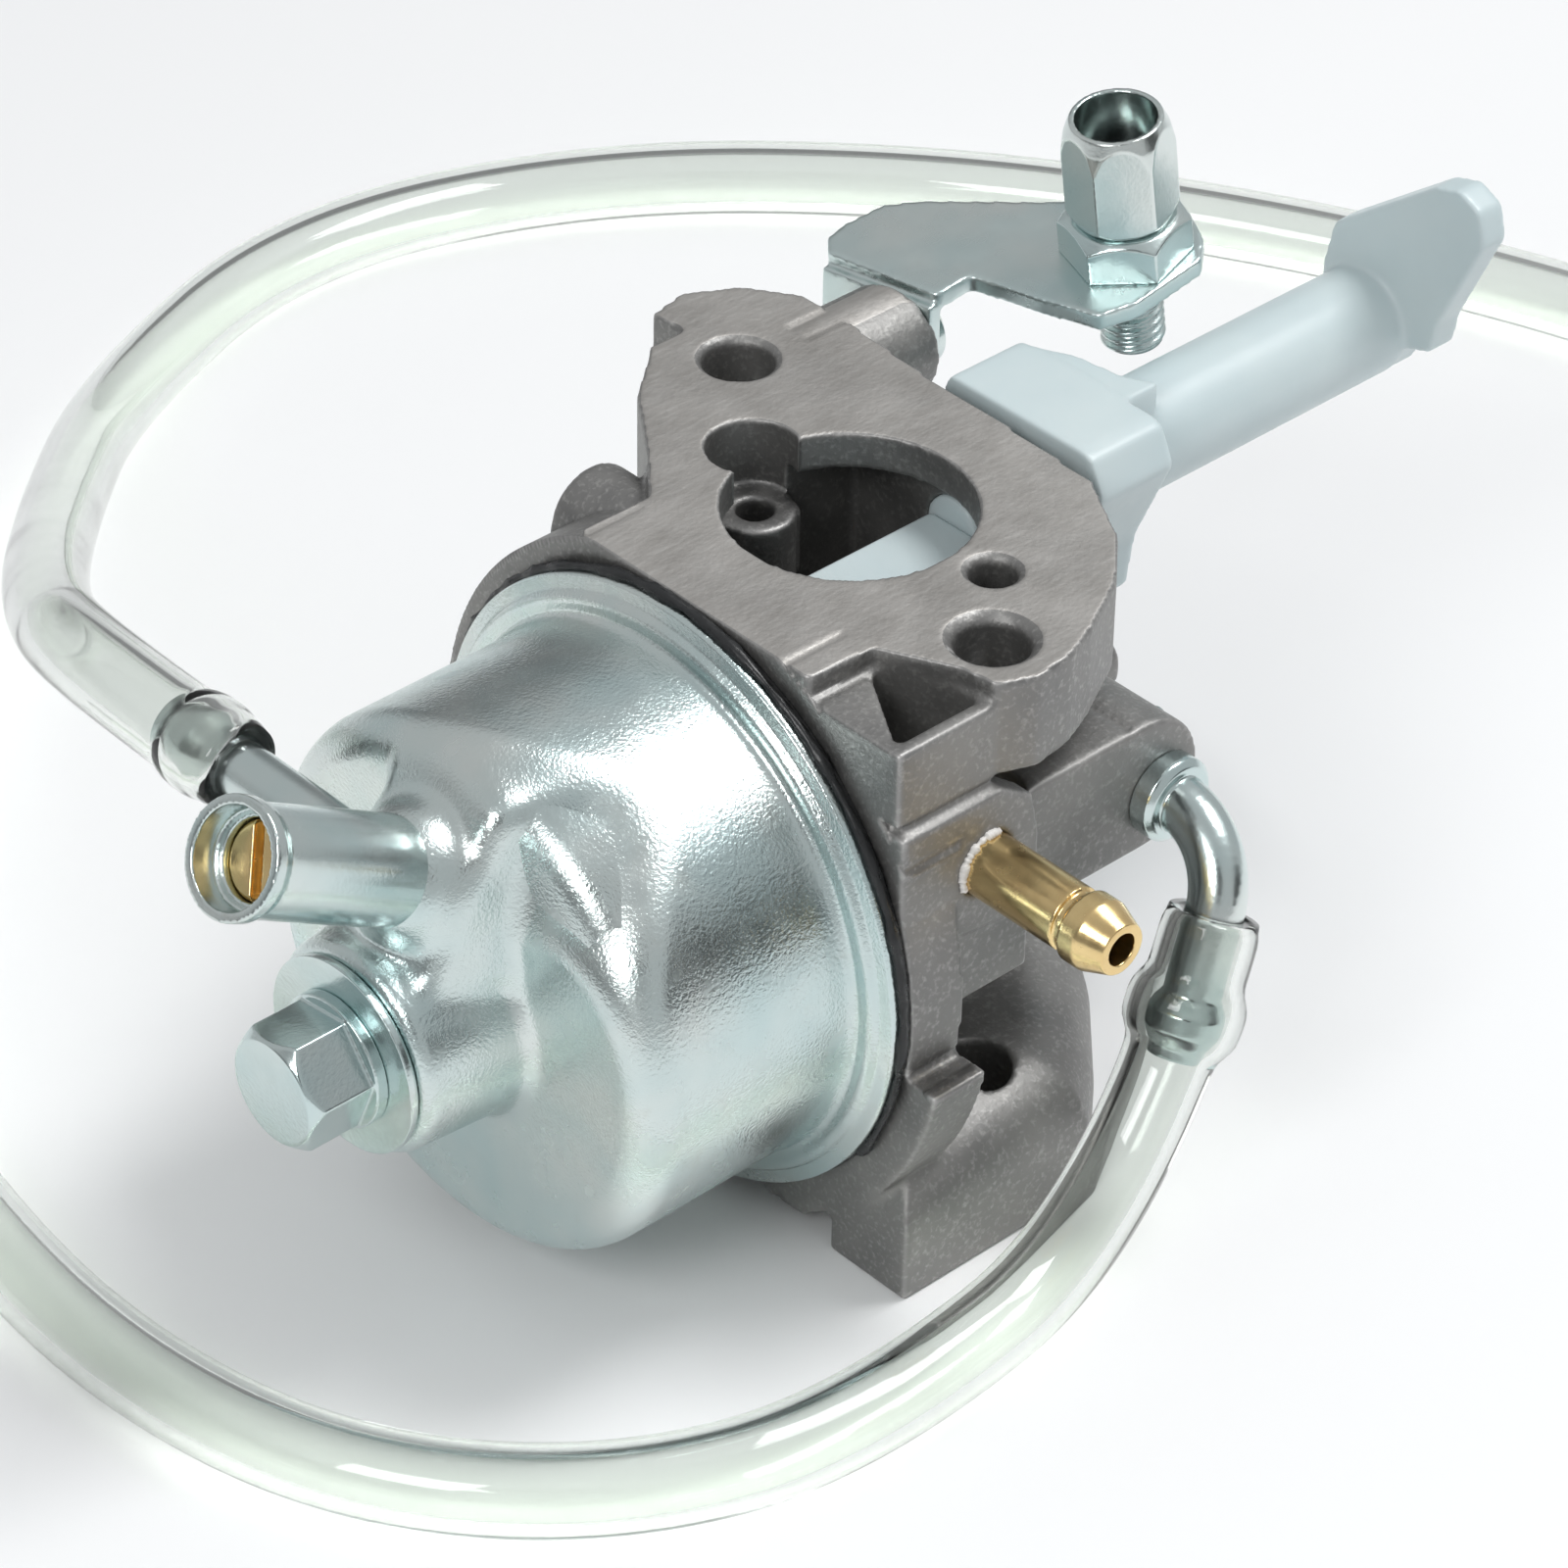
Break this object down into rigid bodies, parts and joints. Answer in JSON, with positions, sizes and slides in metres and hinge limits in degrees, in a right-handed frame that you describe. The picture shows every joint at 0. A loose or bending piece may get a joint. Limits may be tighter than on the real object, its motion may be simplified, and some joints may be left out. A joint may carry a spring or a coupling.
{
  "type": "carburetor",
  "caption": "Small-engine float carburetor lying on its engine flange: cast body with choke chamber, round plated float bowl, drain tube, fuel barb, choke knob, cable bracket and clear hoses.",
  "frame": {"origin": "centre of the throat on the machined top flange face", "axes": "+Z out of the throat, away from the engine flange; -X along the float bowl's axis, away from the body; -Y on the side of the fuel inlet barb"},
  "size_m": [0.235, 0.1822, 0.0764],
  "materials": {
    "cast_body": "die cast, tumbled, mounting face machined",
    "zinc_plate": "bright zinc plating with a pale green-blue cast",
    "spring_steel": "drawn wire",
    "brass": "turned",
    "black_rubber": "smooth",
    "white_plastic": "moulded, faintly translucent",
    "float_plastic": "moulded",
    "clear_hose": "clear flexible tubing"
  },
  "bodies": {
    "carburetor": {"carburetor_body": "cast_body", "bowl_gasket": "black_rubber", "float_bowl": "zinc_plate", "drain_tube": "zinc_plate", "drain_barb": "zinc_plate", "bowl_bolt": "zinc_plate", "bowl_bolt_washer": "zinc_plate", "fuel_inlet_barb": "brass", "vent_elbow": "zinc_plate", "float_hinge_pin": "zinc_plate", "needle_seat": "brass", "main_jet": "brass", "main_nozzle": "brass", "pilot_jet": "brass", "throttle_return_spring": "spring_steel", "idle_stop_spring": "spring_steel", "cable_bracket": "zinc_plate", "bracket_screw": "zinc_plate", "adjuster_lock_nut": "zinc_plate", "vent_hose": "clear_hose", "drain_hose": "clear_hose"},
    "float": {"float": "float_plastic"},
    "needle": {"needle_valve": "black_rubber"},
    "drain_ring": {"drain_o_ring": "black_rubber"},
    "drain_screw": {"drain_screw": "brass"},
    "throttle": {"throttle_shaft": "zinc_plate", "throttle_plate": "brass", "throttle_plate_screw": "zinc_plate", "throttle_lever": "zinc_plate", "throttle_lever_nut": "zinc_plate"},
    "idle_washer": {"idle_stop_washer": "zinc_plate"},
    "idle_screw": {"idle_stop_screw": "zinc_plate"},
    "choke": {"choke_lever": "white_plastic", "choke_plate": "white_plastic"},
    "cable_ferrule": {"adjuster_ferrule": "black_rubber"},
    "cable_adjuster": {"cable_adjuster": "zinc_plate"}
  },
  "joints": [
    {"name": "float_hinge", "type": "hinge", "parent": "carburetor", "child": "float", "pos_m": [-0.0224, -0.01985, -0.026], "axis": [0, 0, 1], "range_deg": [0, 6]},
    {"name": "needle_slide", "type": "slide", "parent": "carburetor", "child": "needle", "axis": [-1, 0, 0], "range_m": [0, 0.00019]},
    {"name": "drain_ring_slide", "type": "slide", "parent": "carburetor", "child": "drain_ring", "axis": [-0.8634, 0, 0.5045], "range_m": [0, 0.003]},
    {"name": "drain_screw_turn", "type": "hinge", "parent": "drain_ring", "child": "drain_screw", "pos_m": [-0.0679, -0.0009, -0.0029], "axis": [-0.8634, 0, 0.5045], "range_deg": [0, 1440]},
    {"name": "throttle_turn", "type": "hinge", "parent": "carburetor", "child": "throttle", "pos_m": [0, 0, -0.046], "axis": [-1, 0, 0], "range_deg": [0, 75], "stiffness_Nm_per_rad": 0.01, "springref_deg": -34.38},
    {"name": "idle_washer_slide", "type": "slide", "parent": "carburetor", "child": "idle_washer", "axis": [0, 0, 1], "range_m": [0, 0.002], "deforming": ["idle_stop_spring"]},
    {"name": "idle_screw_turn", "type": "hinge", "parent": "idle_washer", "child": "idle_screw", "pos_m": [0.0246, 0.009, -0.03], "axis": [0, 0, 1], "range_deg": [0, 1028.6]},
    {"name": "choke_turn", "type": "hinge", "parent": "carburetor", "child": "choke", "pos_m": [0, 0, -0.0081], "axis": [1, 0, 0], "range_deg": [0, 75]},
    {"name": "ferrule_slide", "type": "slide", "parent": "carburetor", "child": "cable_ferrule", "axis": [-0.1564, 0, 0.9877], "range_m": [0, 0.005]},
    {"name": "adjuster_turn", "type": "hinge", "parent": "cable_ferrule", "child": "cable_adjuster", "pos_m": [0.0441, 0.0108, 0.0026], "axis": [-0.1564, 0, 0.9877], "range_deg": [0, 1800]}
  ],
  "couplings": [
    {"joint": "needle_slide", "follows": "float_hinge", "m_per_rad": 0.0018},
    {"joint": "drain_ring_slide", "follows": "drain_screw_turn", "m_per_rad": 0.00011937},
    {"joint": "idle_washer_slide", "follows": "idle_screw_turn", "m_per_rad": 0.00011141},
    {"joint": "ferrule_slide", "follows": "adjuster_turn", "m_per_rad": 0.00015915}
  ]
}
